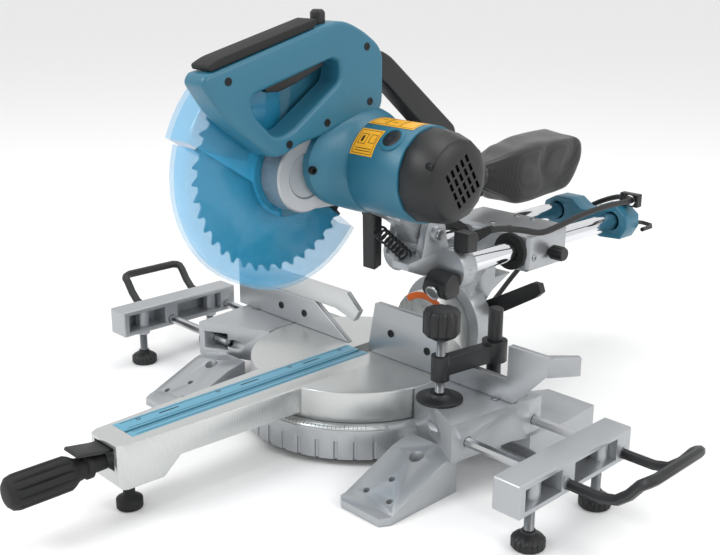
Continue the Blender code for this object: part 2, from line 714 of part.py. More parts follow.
def lower_guard():
    y0, z0 = BLADE_AXIS
    w = LOWER_GUARD_HALF_WIDTH
    sector = [*arc((y0, z0), LOWER_GUARD_RADIUS, 162, 322, 23), *arc((y0, z0), 48, 322, 162, 12)]
    guard = prism(sector, "X", -w, w)
    cut(guard, cylinder(LOWER_GUARD_RADIUS - 3, x_point(BLADE_AXIS, 3 - w), x_point(BLADE_AXIS, w - 3), 46))
    ring = cylinder(51, x_point(BLADE_AXIS, w - 2.6), x_point(BLADE_AXIS, w), 32)
    cut(ring, cylinder(GUARD_HUB + 0.6, x_point(BLADE_AXIS, 0), x_point(BLADE_AXIS, 20), 32))
    fuse(guard, ring)
    return show(guard, "lower_guard", "guard")


def blade():
    y0, z0 = BLADE_AXIS
    outline = []
    for tooth in range(BLADE_TEETH):
        a = 360 * tooth / BLADE_TEETH
        outline += arc((y0, z0), BLADE_RADIUS, a, a + 1.2, 2)
        outline += arc((y0, z0), BLADE_RADIUS - 6.5, a + 2.0, a + 5.4, 2)
    half = BLADE_THICKNESS / 2
    disc = prism(outline, "X", -half, half)
    cut(disc, cylinder(BLADE_BORE, x_point(BLADE_AXIS, -5), x_point(BLADE_AXIS, 5), 24))
    return show(disc, "blade", "steel")


def arbor():
    y0, z0 = BLADE_AXIS
    half = BLADE_THICKNESS / 2 + SEAT_GAP
    profile = [
        (0, 43.7), (8, 43.7), (8, 8), (22, 7), (22, half), (BLADE_BORE - SEAT_GAP, half),
        (BLADE_BORE - SEAT_GAP, -half), (22, -half), (22, -5), (18, -6), (9, -6), (9, -12), (0, -12),
    ]
    shaft = turned(profile, (0, 0, 0), (1, 0, 0), 20)
    shaft.location = (0, y0 * MM, z0 * MM)
    return show(shaft, "arbor", "steel")


def motor_housing():
    shell = cylinder(MOTOR_RADIUS, x_point(MOTOR_AXIS, MOTOR_START), x_point(MOTOR_AXIS, MOTOR_END), 36)
    cut(shell, cylinder(MOTOR_RADIUS - 6, x_point(MOTOR_AXIS, MOTOR_START + 6), x_point(MOTOR_AXIS, 160), 24))
    cut(shell, cylinder(5 + SEAT_GAP, x_point(MOTOR_AXIS, 50), x_point(MOTOR_AXIS, 80), 12))
    return show(shell, "motor_housing", "teal")


def motor_cap():
    start = MOTOR_END + SEAT_GAP
    profile = [(0, CAP_END), (30, CAP_END), (41, CAP_END - 5), (47, CAP_END - 24), (49, start), (0, start)]
    cap = turned(profile, (0, 0, 0), (1, 0, 0), 14)
    cap.location = (0, MOTOR_AXIS[0] * MM, MOTOR_AXIS[1] * MM)
    cut(cap, cylinder(5 + SEAT_GAP, x_point(MOTOR_AXIS, 130), x_point(MOTOR_AXIS, 156), 12))
    return show(cap, "motor_cap", "black")


def armature():
    profile = [(0, 155), (5, 155), (5, 134), (20, 133), (20, 122), (30, 121), (30, 80), (5, 78), (5, 52), (0, 52)]
    rotor = turned(profile, (0, 0, 0), (1, 0, 0), 18)
    rotor.location = (0, MOTOR_AXIS[0] * MM, MOTOR_AXIS[1] * MM)
    return show(rotor, "armature", "copper")


def handle_outline():
    return [
        (-236, 427.5), (-110, 462), (-77, 468), (-48, 456), (-20, 437), (-20, 367.8), (-66, 367.8),
        (-112, 354), (-133, 350.5), (-167, 337), (-228, 384), (-251, 417), (-246, 426),
    ]


def handle_housing():
    handle = prism(handle_outline(), "X", HANDLE_LEFT, HANDLE_RIGHT, 4)
    opening = [(-192, 403), (-91, 431), (-84, 425), (-88, 416), (-161, 370), (-168, 370), (-188, 388)]
    cut(handle, prism(opening, "X", 10, 75))
    pocket = [(-180, 400), (-180, 421), (-90, 445), (-90, 425)]
    cut(handle, prism(pocket, "X", 36.4, 47.6))
    cut(handle, cylinder(8, (42, -98, 450), (42, -98, 490), 16))
    return show(handle, "handle_housing", "teal")


def soft_grip():
    side = [(-238, 427.7), (-112, 462.2), (-112, 470.5), (-230, 438.5), (-240, 434)]
    return show(prism(side, "X", 28, 56, 3), "soft_grip", "rubber")


def trigger():
    side = [(-95, 433), (-92, 428), (-95, 423), (-130, 408.5), (-152, 402), (-168, 402.5), (-172, 408), (-168, 414)]
    return show(prism(side, "X", 37, 47, 1), "trigger", "black")


def lock_button():
    return show(turned([(0, 478), (5, 478), (7.5, 475), (7.5, 456), (0, 456)], (42, -98, 0), (0, 0, 1), 16),
                "lock_button", "black")


def carry_handle():
    side = [(-19.6, 436), (-1, 428), (107, 342), (110, 330), (104, 318.4), (68, 320.4), (60, 341), (-8, 399),
            (-19.6, 405)]
    return show(prism(side, "X", 26, 50, 4), "carry_handle", "black")


def dust_chute():
    side = [(2, 277), (16, 277), (34, 250), (34, 181), (21.5, 177), (20, 240)]
    chute = prism(side, "X", -14, 6.5, 1.5)
    fuse(chute, box((-18.5, -2, 276), (18.5, 9.8, 280)))
    return show(chute, "dust_chute", "black")


def dust_port():
    port = cylinder(17, (-9, 20.9, 327.6), (-9, 205, 262.5), 16)
    return show(port, "dust_port", "black")


def dust_bag():
    side = [(209.6, 238), (225, 222), (272, 213.5), (360, 213.5), (386, 218), (420, 262), (417, 295),
            (399, 302), (300, 297), (211, 288)]
    return show(prism(side, "X", -44, 26, 12, 2), "dust_bag", "fabric")


# Mains lead

LEAD_ROUTE = [
    (96, 92.8, 222.2), (96.4, 104, 224), (99, 130, 225.5), (105, 166, 219), (111, 200, 211), (112, 240, 214),
    (111, 290, 219), (109, 350, 220), (104, 400, 216), (92, 430, 212), (60, 446, 208), (20, 450, 190),
    (-20, 446, 160), (-55, 430, 118), (-82, 408, 72), (-100, 385, 32), (-108, 362, 12), (-110, 345, 5.2),
    (-112, 325, 4.2), (-114, 319.4, 4.2),
]


def lead():
    return show(tube(smooth_route(LEAD_ROUTE, 18), LEAD_DIAMETER / 2, 2), "lead", "rubber")


def lead_coil():
    rim, hole = COIL_RADIUS + LEAD_DIAMETER / 2 + 1.5, COIL_RADIUS - 2 * LEAD_DIAMETER
    coil = turned([(rim - 3, 23), (rim, 20), (rim, 3), (rim - 3, 0.3), (hole, 0.3), (hole, 23)],
                  (*COIL_CENTRE, 0), (0, 0, 1), 24, ring=True)
    return show(coil, "lead_coil", "rubber")


def lead_plug():
    x, y = COIL_CENTRE[0] + 20, COIL_CENTRE[1] - 61.5
    plug = box((x - 20, y - 14, 0.3), (x + 18, y + 14, 30), 4)
    return show(plug, "lead_plug", "black")


def cord_gland():
    gland = box((85, 68, 208.7), (106, 86, 231), 1)
    fuse(gland, cylinder(7, (96, 84, 221), (96, 92, 222), 12))
    return show(gland, "cord_gland", "black")


def cord_clip():
    clip = box((84, RAIL_BACK - 13, 206.3), (112, RAIL_BACK - 2, 224), 1)
    cut(clip, cylinder(LEAD_DIAMETER / 2 + 4, (104, 400, 216), (91, 432, 212), 14))
    return show(clip, "cord_clip", "black")


# Assembly

def build():
    clear_scene()
    base_casting()
    mitre_scale()
    fence_left()
    fence_right()
    hang("sub_fence_joint", (-120, FENCE_FACE, 132), [sub_fence()])
    hang("clamp_post_joint", (*POST_AXIS, 81), [clamp_post()])
    hang("clamp_arm_joint", (*POST_AXIS, 120), [clamp_arm()])
    hang("clamp_spindle_joint", (*CLAMP_AXIS, 120), [clamp_spindle(), clamp_pad()])
    for word, side in (("left", -1), ("right", 1)):
        hang("wing_" + word + "_joint", (side * 320, 0, WING_ROD_HEIGHT),
             [wing("wing_" + word, side), wing_rods("wing_rod_" + word, side)])
        for place_name, y in zip(("front", "rear"), WING_FOOT_YS):
            name = "wing_foot_" + word + "_" + place_name
            hang(name + "_joint", (side * 320, y, 40), [wing_foot(name, side, y)])
    hang("mitre_joint", (0, 0, TABLE_TOP), [
        turntable(), kerf_board("kerf_board_left", -23, -2.2), kerf_board("kerf_board_right", 2.2, 14),
        turntable_pivot(), bevel_shaft(),
    ])
    hang("arm_foot_joint", (0, -315.5, 20), [arm_foot()])
    hang("mitre_grip_joint", (0, -341, 60), [mitre_grip()])
    hang("mitre_latch_joint", (0, -332, 71), [mitre_latch()])
    hang("bevel_joint", (0, DRUM_FRONT, BEVEL_AXIS_Z), [
        saw_arm(), rail_seal("rail_seal_near", RAIL_NEAR_X), rail_seal("rail_seal_far", RAIL_FAR_X),
    ])
    hang("bevel_lever_joint", (0, 188, BEVEL_AXIS_Z), [bevel_lever()])
    hang("slide_lock_joint", (104, 228, 181), [slide_lock_knob()])
    hang("carriage_joint", (40, 90, RAIL_HEIGHT), [
        rail("rail_near", RAIL_NEAR_X), rail("rail_far", RAIL_FAR_X), carriage(), rear_bracket(), cord_hook(),
        pivot_shaft(), lamp_housing(), lamp_lens(), return_spring(), cord_gland(), cord_clip(), lead(),
    ])
    lead_coil()
    lead_plug()
    hang("head_joint", x_point(PIVOT_AXIS, 37), [
        gear_case(), upper_guard(), motor_housing(), motor_cap(), handle_housing(), soft_grip(),
        carry_handle(), dust_chute(), dust_port(), dust_bag(),
    ])
    hang("lower_guard_joint", x_point(BLADE_AXIS, 0), [lower_guard()])
    hang("blade_joint", x_point(BLADE_AXIS, 0), [blade(), arbor()])
    hang("armature_joint", x_point(MOTOR_AXIS, 100), [armature()])
    hang("trigger_joint", (42, -95, 428), [trigger()])
    hang("lock_button_joint", (42, -98, 470), [lock_button()])


build()
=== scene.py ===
"""Looks for the sliding mitre saw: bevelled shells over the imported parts, fine fittings and real finishes."""

import json
import math

import bmesh
import bpy
from mathutils import Matrix, Vector, noise

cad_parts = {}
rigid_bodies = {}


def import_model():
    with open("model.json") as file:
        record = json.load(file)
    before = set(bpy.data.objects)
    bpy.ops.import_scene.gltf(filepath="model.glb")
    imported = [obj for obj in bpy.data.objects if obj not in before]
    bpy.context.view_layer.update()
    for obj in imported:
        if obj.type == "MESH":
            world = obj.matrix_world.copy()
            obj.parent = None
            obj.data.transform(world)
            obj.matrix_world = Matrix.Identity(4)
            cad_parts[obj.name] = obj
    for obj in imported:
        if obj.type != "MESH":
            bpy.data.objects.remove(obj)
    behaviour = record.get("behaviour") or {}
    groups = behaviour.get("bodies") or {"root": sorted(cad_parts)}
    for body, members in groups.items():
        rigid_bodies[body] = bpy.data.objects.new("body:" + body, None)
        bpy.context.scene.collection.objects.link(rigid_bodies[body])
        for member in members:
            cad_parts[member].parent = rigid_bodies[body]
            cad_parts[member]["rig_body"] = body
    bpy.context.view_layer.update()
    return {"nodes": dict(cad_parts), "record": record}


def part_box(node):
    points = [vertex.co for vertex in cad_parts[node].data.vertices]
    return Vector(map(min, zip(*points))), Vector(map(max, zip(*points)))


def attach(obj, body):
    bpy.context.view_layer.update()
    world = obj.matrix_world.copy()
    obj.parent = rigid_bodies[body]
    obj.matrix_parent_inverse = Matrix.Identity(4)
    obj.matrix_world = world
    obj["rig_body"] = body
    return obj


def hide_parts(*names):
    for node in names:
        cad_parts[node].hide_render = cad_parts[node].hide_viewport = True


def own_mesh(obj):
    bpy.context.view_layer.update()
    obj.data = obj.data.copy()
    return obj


MM = 0.001
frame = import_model()
LEAD_DIAMETER = 7.5 * MM
BLADE_AXIS = (-117, 314.5)
MOTOR_AXIS = (-35, 318)
BRUSH_ANGLE = 2.3


# Camera and light

def add_camera():
    azimuth, elevation, roll = (math.radians(a) for a in (45.403, 16.467, 0.388))
    back = Vector((math.sin(azimuth) * math.cos(elevation),
                   -math.cos(azimuth) * math.cos(elevation), math.sin(elevation)))
    level = Vector((math.cos(azimuth), math.sin(azimuth), 0))
    up = back.cross(level)
    right = level * math.cos(roll) + up * math.sin(roll)
    top = up * math.cos(roll) - level * math.sin(roll)
    turn = Matrix((right, top, back)).transposed().to_4x4()
    data = bpy.data.cameras.new("view_camera")
    data.lens = 52.565
    data.sensor_width = 36
    data.shift_x = -0.0025
    data.shift_y = -0.0191
    camera = bpy.data.objects.new("view_camera", data)
    camera.matrix_world = Matrix.Translation((0.8284, -0.8099, 0.5309)) @ turn
    bpy.context.scene.collection.objects.link(camera)
    bpy.context.scene.camera = camera


def area_light(name, place, target, size, power):
    data = bpy.data.lights.new(name, "AREA")
    data.size = size
    data.energy = power
    lamp = bpy.data.objects.new(name, data)
    lamp.location = place
    lamp.rotation_euler = (Vector(target) - Vector(place)).to_track_quat("-Z", "Y").to_euler()
    bpy.context.scene.collection.objects.link(lamp)


def add_studio():
    floor = bpy.data.meshes.new("floor")
    s = 14
    floor.from_pydata([(-s, -s, 0), (s, -s, 0), (s, s, 0), (-s, s, 0)], [], [(0, 1, 2, 3)])
    floor.materials.append(studio_floor())
    floor = bpy.data.objects.new("floor", floor)
    floor.location.z = -0.0005
    bpy.context.scene.collection.objects.link(floor)
    world = bpy.data.worlds.new("studio")
    world.use_nodes = True
    world.node_tree.nodes["Background"].inputs["Color"].default_value = (1, 1, 1, 1)
    world.node_tree.nodes["Background"].inputs["Strength"].default_value = 0.9
    bpy.context.scene.world = world
    bpy.context.scene.view_settings.view_transform = "Standard"
    area_light("key", (-0.6, -1.7, 1.9), (0, 0, 0.15), 0.9, 20)
    area_light("side", (2.0, 0.4, 1.3), (0, 0, 0.2), 0.8, 12)
    area_light("top", (0.1, 0.3, 2.4), (0, 0, 0.1), 1.2, 14)


# Finishes

def hex_colour(code):
    """An sRGB hex value as linear RGBA."""
    values = [int(code[i:i + 2], 16) / 255 for i in (1, 3, 5)]
    return (*[v / 12.92 if v <= 0.04045 else ((v + 0.055) / 1.055) ** 2.4 for v in values], 1)


def add_node(material, kind, settings=None, **links):
    """Adds a node. A link names its input, with underscores for spaces, or i3 for the fourth one."""
    tree = material.node_tree
    node = tree.nodes.new(kind)
    for name, value in (settings or {}).items():
        setattr(node, name, value)
    for name, value in links.items():
        numbered = name[0] == "i" and name[1:].isdigit()
        socket = node.inputs[int(name[1:]) if numbered else name.replace("_", " ")]
        if isinstance(value, bpy.types.NodeSocket):
            tree.links.new(value, socket)
        else:
            socket.default_value = value
    return node


def plain(name, colour, rough, metallic=0.0, **sockets):
    """A Principled material with its shader's own numbers set, and its place in object space."""
    material = bpy.data.materials.new(name)
    material.use_nodes = True
    shader = material.node_tree.nodes["Principled BSDF"]
    shader.inputs["Base Color"].default_value = hex_colour(colour)
    shader.inputs["Roughness"].default_value = rough
    shader.inputs["Metallic"].default_value = metallic
    for key, value in sockets.items():
        shader.inputs[key.replace("_", " ")].default_value = value
    place = add_node(material, "ShaderNodeTexCoord").outputs["Object"]
    return material, shader, place


def grain(material, shader, place, size_mm, depth, spread=0.06, dark=0.9):
    """Fine moulded or blasted grain: bump, a little uneven gloss and a slow drift of colour."""
    tree = material.node_tree
    fine = add_node(material, "ShaderNodeTexNoise", Vector=place, Scale=1000 / size_mm, Detail=3.0)
    bump = add_node(material, "ShaderNodeBump", Height=fine.outputs["Fac"], Strength=depth, Distance=0.0004)
    tree.links.new(bump.outputs["Normal"], shader.inputs["Normal"])
    slow = add_node(material, "ShaderNodeTexNoise", Vector=place, Scale=14.0, Detail=4.0)
    rough = shader.inputs["Roughness"].default_value
    gloss = add_node(material, "ShaderNodeMapRange", Value=slow.outputs["Fac"], i3=rough - spread,
                     i4=rough + spread)
    tree.links.new(gloss.outputs["Result"], shader.inputs["Roughness"])
    colour = shader.inputs["Base Color"].default_value[:]
    shade = (*[c * dark for c in colour[:3]], 1)
    mix = add_node(material, "ShaderNodeMix", {"data_type": "RGBA"}, i0=slow.outputs["Fac"], i6=shade,
                   i7=colour)
    tree.links.new(mix.outputs[2], shader.inputs["Base Color"])


def studio_floor():
    # Pale matt paper sweep
    material, shader, _ = plain("paper_floor", "#F4F4F4", 0.9)
    shader.inputs["Specular IOR Level"].default_value = 0.1
    return material


def teal_abs():
    # Glass-filled nylon, spark-eroded mould: a soft sheen over a fine even grain
    material, shader, place = plain("teal_nylon", "#2B6C84", 0.36, IOR=1.5)
    grain(material, shader, place, 0.6, 0.25, 0.05, 0.88)
    return material


def black_nylon():
    # Black glass-filled nylon: satin, with the mould's coarse grain
    material, shader, place = plain("black_nylon", "#131416", 0.44, IOR=1.5)
    grain(material, shader, place, 0.8, 0.35, 0.06, 0.8)
    return material


def soft_elastomer():
    # Overmoulded elastomer: dull and slightly pebbled
    material, shader, place = plain("soft_elastomer", "#0F1011", 0.7)
    grain(material, shader, place, 1.1, 0.5, 0.08, 0.75)
    return material


def lead_rubber():
    # Mains lead sheath: smooth dark rubber
    material, shader, place = plain("lead_rubber", "#141415", 0.55)
    grain(material, shader, place, 2.5, 0.15, 0.06, 0.8)
    return material


def cast_paint():
    # Die cast aluminium under silver paint: satin, with a slight orange peel
    material, shader, place = plain("silver_painted_casting", "#AEB1B4", 0.34, 0.65)
    grain(material, shader, place, 1.8, 0.22, 0.06, 0.93)
    return material


def machined_aluminium():
    # Table top faced on a lathe: fine rings about the mitre axis show as streaked light
    material, shader, place = plain("machined_aluminium", "#C8CAC9", 0.28, 0.85)
    rings = add_node(material, "ShaderNodeTexWave", {"wave_type": "RINGS", "rings_direction": "Z"},
                     Vector=place, Scale=160.0, Distortion=0.6, Detail=2.0)
    bump = add_node(material, "ShaderNodeBump", Height=rings.outputs["Fac"], Strength=0.05, Distance=0.0003)
    material.node_tree.links.new(bump.outputs["Normal"], shader.inputs["Normal"])
    gloss = add_node(material, "ShaderNodeMapRange", Value=rings.outputs["Fac"], i3=0.27, i4=0.36)
    material.node_tree.links.new(gloss.outputs["Result"], shader.inputs["Roughness"])
    return material


def extruded_aluminium():
    # Anodised extrusion: faint lines along its length
    material, shader, place = plain("anodised_aluminium", "#C9CBCB", 0.33, 0.8)
    stretched = add_node(material, "ShaderNodeMapping", Vector=place, Scale=(12.0, 900.0, 900.0))
    lines = add_node(material, "ShaderNodeTexNoise", Vector=stretched.outputs["Vector"], Scale=1.0, Detail=2.0)
    gloss = add_node(material, "ShaderNodeMapRange", Value=lines.outputs["Fac"], i3=0.25, i4=0.45)
    material.node_tree.links.new(gloss.outputs["Result"], shader.inputs["Roughness"])
    return material


def chromed_steel():
    # Hard chrome on ground bar: mirror bright with faint draw marks
    material, shader, place = plain("hard_chrome", "#E3E5E8", 0.08, 1.0)
    stretched = add_node(material, "ShaderNodeMapping", Vector=place, Scale=(700.0, 6.0, 700.0))
    lines = add_node(material, "ShaderNodeTexNoise", Vector=stretched.outputs["Vector"], Scale=1.0)
    gloss = add_node(material, "ShaderNodeMapRange", Value=lines.outputs["Fac"], i3=0.05, i4=0.14)
    material.node_tree.links.new(gloss.outputs["Result"], shader.inputs["Roughness"])
    return material


def zinc_steel():
    # Zinc plated fasteners and shafts: slightly clouded
    material, shader, place = plain("zinc_plate", "#A9ABAD", 0.34, 1.0)
    grain(material, shader, place, 3.0, 0.1, 0.08, 0.85)
    return material


def blackened_steel():
    # Black oxide screws and spring
    material, shader, place = plain("black_oxide", "#232426", 0.42, 0.6)
    grain(material, shader, place, 2.0, 0.15, 0.08, 0.8)
    return material


def black_coat():
    # Black powder coat: even satin over a slight orange peel
    material, shader, place = plain("black_powder_coat", "#1B1C1E", 0.42)
    grain(material, shader, place, 1.5, 0.25, 0.06, 0.8)
    return material


def rod_finish():
    # Plated rod, with black powder coat on the loop beyond the wing
    material, shader, place = plain("coated_rod", "#C3C5C7", 0.25, 1.0)
    split = add_node(material, "ShaderNodeSeparateXYZ", Vector=place)
    far = add_node(material, "ShaderNodeMath", {"operation": "ABSOLUTE"}, i0=split.outputs["X"])
    over = add_node(material, "ShaderNodeMath", {"operation": "GREATER_THAN"}, i0=far.outputs[0], i1=0.337)
    mix = add_node(material, "ShaderNodeMix", {"data_type": "RGBA"}, i0=over.outputs[0],
                   i6=hex_colour("#C3C5C7"), i7=hex_colour("#1B1C1E"))
    bare = add_node(material, "ShaderNodeMath", {"operation": "SUBTRACT"}, i0=1.0, i1=over.outputs[0])
    gloss = add_node(material, "ShaderNodeMapRange", Value=over.outputs[0], i3=0.22, i4=0.42)
    for socket, name in ((mix.outputs[2], "Base Color"), (bare.outputs[0], "Metallic"),
                         (gloss.outputs[0], "Roughness")):
        material.node_tree.links.new(socket, shader.inputs[name])
    return material


def blade_steel():
    # Ground saw plate: fine concentric grinding lines round the arbor
    material, shader, place = plain("ground_saw_plate", "#5A636B", 0.28, 1.0)
    centred = add_node(material, "ShaderNodeMapping", Vector=place, Location=(0.0, 0.117, -0.3145))
    rings = add_node(material, "ShaderNodeTexWave", {"wave_type": "RINGS", "rings_direction": "X"},
                     Vector=centred.outputs["Vector"], Scale=260.0, Distortion=1.0, Detail=2.0)
    bump = add_node(material, "ShaderNodeBump", Height=rings.outputs["Fac"], Strength=0.1, Distance=0.0002)
    material.node_tree.links.new(bump.outputs["Normal"], shader.inputs["Normal"])
    gloss = add_node(material, "ShaderNodeMapRange", Value=rings.outputs["Fac"], i3=0.2, i4=0.36)
    material.node_tree.links.new(gloss.outputs["Result"], shader.inputs["Roughness"])
    return material


def clear_guard():
    # Tinted polycarbonate: see-through with a bright hard surface
    material, shader, place = plain("tinted_polycarbonate", "#3CBCEC", 0.08, IOR=1.58, Alpha=0.27)
    cloud = add_node(material, "ShaderNodeTexNoise", Vector=place, Scale=30.0)
    gloss = add_node(material, "ShaderNodeMapRange", Value=cloud.outputs["Fac"], i3=0.05, i4=0.12)
    material.node_tree.links.new(gloss.outputs["Result"], shader.inputs["Roughness"])
    return material


def kerf_plastic():
    # Pale blue acetal strip, planed flat
    material, shader, place = plain("acetal_strip", "#5F9DB6", 0.42)
    grain(material, shader, place, 1.0, 0.12, 0.05, 0.93)
    return material


def bag_cloth():
    # Woven polyester dust bag, dull with a faint sheen. The weave is drawn coarser than real, so that it shows
    material, shader, place = plain("woven_polyester", "#1B1B1D", 0.85)
    shader.inputs["Sheen Weight"].default_value = 0.35
    warp, weft = (add_node(material, "ShaderNodeTexWave", {"bands_direction": way}, Vector=place, Scale=190.0,
                           Distortion=1.0).outputs["Fac"] for way in "XY")
    woven = add_node(material, "ShaderNodeMath", {"operation": "MULTIPLY"}, i0=warp, i1=weft)
    bump = add_node(material, "ShaderNodeBump", Height=woven.outputs[0], Strength=0.4, Distance=0.0006)
    material.node_tree.links.new(bump.outputs["Normal"], shader.inputs["Normal"])
    slow = add_node(material, "ShaderNodeTexNoise", Vector=place, Scale=24.0, Detail=5.0)
    mix = add_node(material, "ShaderNodeMix", {"data_type": "RGBA"}, i0=slow.outputs["Fac"],
                   i6=hex_colour("#0C0C0D"), i7=hex_colour("#1D1D1F"))
    material.node_tree.links.new(mix.outputs[2], shader.inputs["Base Color"])
    return material


def amber_label():
    # Printed vinyl label
    material, shader, place = plain("amber_vinyl", "#F0B02A", 0.35)
    grain(material, shader, place, 4.0, 0.05, 0.04, 0.95)
    return material


def white_ink():
    # Screen-printed marks
    material, shader, place = plain("white_print", "#E9E9E7", 0.5)
    grain(material, shader, place, 3.0, 0.05, 0.04, 0.95)
    return material


def orange_mark():
    # Orange pointer and scale plate
    material, shader, place = plain("orange_enamel", "#D8641E", 0.4)
    grain(material, shader, place, 3.0, 0.05, 0.04, 0.9)
    return material


def lens_glass():
    # Moulded clear lens over a lamp
    return plain("clear_lens", "#F4F7FA", 0.06, IOR=1.49, Alpha=0.65)[0]


def winding():
    # Enamelled copper windings
    material, shader, place = plain("enamelled_copper", "#A65F34", 0.35, 1.0)
    grain(material, shader, place, 1.5, 0.4, 0.08, 0.7)
    return material


FINISHES = {
    "teal_housing": teal_abs(), "clear_guard": clear_guard(), "kerf_plastic": kerf_plastic(),
    "black_plastic": black_nylon(), "black_rubber": soft_elastomer(), "cast_silver": cast_paint(),
    "machined_table": machined_aluminium(), "chromed_steel": chromed_steel(), "plain_steel": zinc_steel(),
    "lamp_glass": lens_glass(), "bag_fabric": bag_cloth(), "copper_winding": winding(),
    "blade": blade_steel(), "label": amber_label(), "ink": white_ink(), "orange": orange_mark(),
    "rod": rod_finish(), "extrusion": extruded_aluminium(), "black_oxide": blackened_steel(),
    "lead": lead_rubber(), "black_coated": black_coat(),
}


# Mesh tools

def smooth_by_angle(mesh, degrees=32):
    shape = bmesh.new()
    shape.from_mesh(mesh)
    for face in shape.faces:
        face.smooth = True
    for edge in shape.edges:
        edge.smooth = len(edge.link_faces) == 2 and edge.calc_face_angle(0) < math.radians(degrees)
    shape.to_mesh(mesh)
    shape.free()


def settle(obj, degrees=32):
    """Applies the modifiers and sets the shading."""
    bpy.context.view_layer.update()
    done = bpy.data.meshes.new_from_object(obj.evaluated_get(bpy.context.evaluated_depsgraph_get()))
    obj.modifiers.clear()
    obj.data = done
    if degrees:
        smooth_by_angle(done, degrees)
    return obj


def piece(name, mesh, finish, body):
    """A new piece of the looks: its finish and the body that it rides on."""
    obj = bpy.data.objects.new(name, mesh)
    bpy.context.scene.collection.objects.link(obj)
    obj.data.materials.clear()
    obj.data.materials.append(FINISHES[finish])
    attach(obj, body)
    return obj


def body_of(node):
    return frame["nodes"][node]["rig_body"]


def slot_of(node):
    return next(s["material_slot"] for s in frame["record"]["subparts"] if s["node"] == node)


def rounded(outline, radius, steps=5):
    """The outline with each corner turned into an arc, in millimetres."""
    points = []
    for a, b, c in zip(outline[-1:] + outline[:-1], outline, outline[1:] + outline[:1]):
        a, b, c = Vector(a), Vector(b), Vector(c)
        before, after = (a - b), (c - b)
        reach = min(radius, before.length * 0.45, after.length * 0.45)
        start, end = b + before.normalized() * reach, b + after.normalized() * reach
        for i in range(steps + 1):
            t = i / steps
            points.append(tuple((1 - t) ** 2 * start + 2 * t * (1 - t) * b + t * t * end))
    return points


def cut_out(obj, tools):
    """Takes the tools out of a piece, and the tools out of the scene."""
    bpy.context.view_layer.update()
    finish = obj.data.materials[0]
    for tool in tools:
        cut = obj.modifiers.new("cut", "BOOLEAN")
        cut.operation = "DIFFERENCE"
        cut.solver = "EXACT"
        cut.object = tool
    settle(obj, 40)
    obj.data.materials.clear()
    obj.data.materials.append(finish)
    for face in obj.data.polygons:
        face.material_index = 0
    for tool in tools:
        bpy.data.objects.remove(tool)


def tool_of(mesh):
    obj = bpy.data.objects.new("tool", mesh)
    bpy.context.scene.collection.objects.link(obj)
    return obj


def soft_edges(obj, width, segments=3, degrees=35):
    bevel = obj.modifiers.new("edge", "BEVEL")
    bevel.width = width * MM
    bevel.segments = segments
    bevel.limit_method = "ANGLE"
    bevel.angle_limit = math.radians(degrees)
    settle(obj, 40)


def block(size, place, angle, axis):
    """A box placed from an axis along X and turned about it, in millimetres."""
    shape = bmesh.new()
    bmesh.ops.create_cube(shape, size=1.0)
    bmesh.ops.scale(shape, vec=size, verts=shape.verts)
    bmesh.ops.translate(shape, vec=place, verts=shape.verts)
    bmesh.ops.rotate(shape, matrix=Matrix.Rotation(angle, 3, "X"), verts=shape.verts)
    bmesh.ops.translate(shape, vec=(0, *axis), verts=shape.verts)
    bmesh.ops.scale(shape, vec=(MM, MM, MM), verts=shape.verts)
    mesh = bpy.data.meshes.new("block")
    shape.to_mesh(mesh)
    shape.free()
    return mesh


def side_prism(outline, low, high):
    """A prism across X of an outline of (y, z)."""
    return loft([[(low, y, z) for y, z in outline], [(high, y, z) for y, z in outline]])


def dress(node, width=0.8, finish=None, segments=2, degrees=35):
    """A softened copy of a CAD node, which stands for it."""
    source = frame["nodes"][node]
    shape = bmesh.new()
    shape.from_mesh(source.data)
    bmesh.ops.remove_doubles(shape, verts=shape.verts, dist=2e-6)
    bmesh.ops.dissolve_limit(shape, angle_limit=math.radians(0.6), verts=shape.verts, edges=shape.edges)
    mesh = bpy.data.meshes.new(node + "_shell")
    shape.to_mesh(mesh)
    shape.free()
    slot = slot_of(node)
    obj = piece(node + "_shell", mesh, finish or slot, body_of(node))
    if width:
        bevel = obj.modifiers.new("edge", "BEVEL")
        bevel.width = width * MM
        bevel.segments = segments
        bevel.limit_method = "ANGLE"
        bevel.angle_limit = math.radians(degrees)
        bevel.use_clamp_overlap = True
        bevel.harden_normals = True
        for face in mesh.polygons:
            face.use_smooth = True
        settle(obj, None)
    else:
        settle(obj, 40)
    obj.data.materials.clear()
    obj.data.materials.append(FINISHES[finish or slot])
    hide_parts(node)
    return obj


def frame_at(place, axis):
    turn = Vector((0, 0, 1)).rotation_difference(Vector(axis)).to_matrix().to_4x4()
    return Matrix.Translation(Vector(place) * MM) @ turn


def loft(rings, cap=True):
    """Joins rings of points, given in millimetres, into one closed mesh."""
    shape = bmesh.new()
    loops = [[shape.verts.new(Vector(p) * MM) for p in ring] for ring in rings]
    count = len(loops[0])
    for low, high in zip(loops, loops[1:]):
        for i in range(count):
            j = (i + 1) % count
            shape.faces.new((low[i], low[j], high[j], high[i]))
    if cap:
        shape.faces.new(loops[0][::-1])
        shape.faces.new(loops[-1])
    bmesh.ops.recalc_face_normals(shape, faces=shape.faces)
    mesh = bpy.data.meshes.new("loft")
    shape.to_mesh(mesh)
    shape.free()
    return mesh


def turned_mesh(profile, steps=48, flutes=0, depth=0.0, fluted=None):
    """A turned solid of (radius, height) in millimetres, with flutes on the chosen profile points."""
    rings = []
    for index, (radius, height) in enumerate(profile):
        ring = []
        for i in range(steps):
            a = 2 * math.pi * i / steps
            r = radius
            if flutes and (fluted is None or index in fluted):
                r -= depth * max(0.0, math.cos(a * flutes)) ** 2
            ring.append((r * math.cos(a), r * math.sin(a), height))
        rings.append(ring)
    return loft(rings)


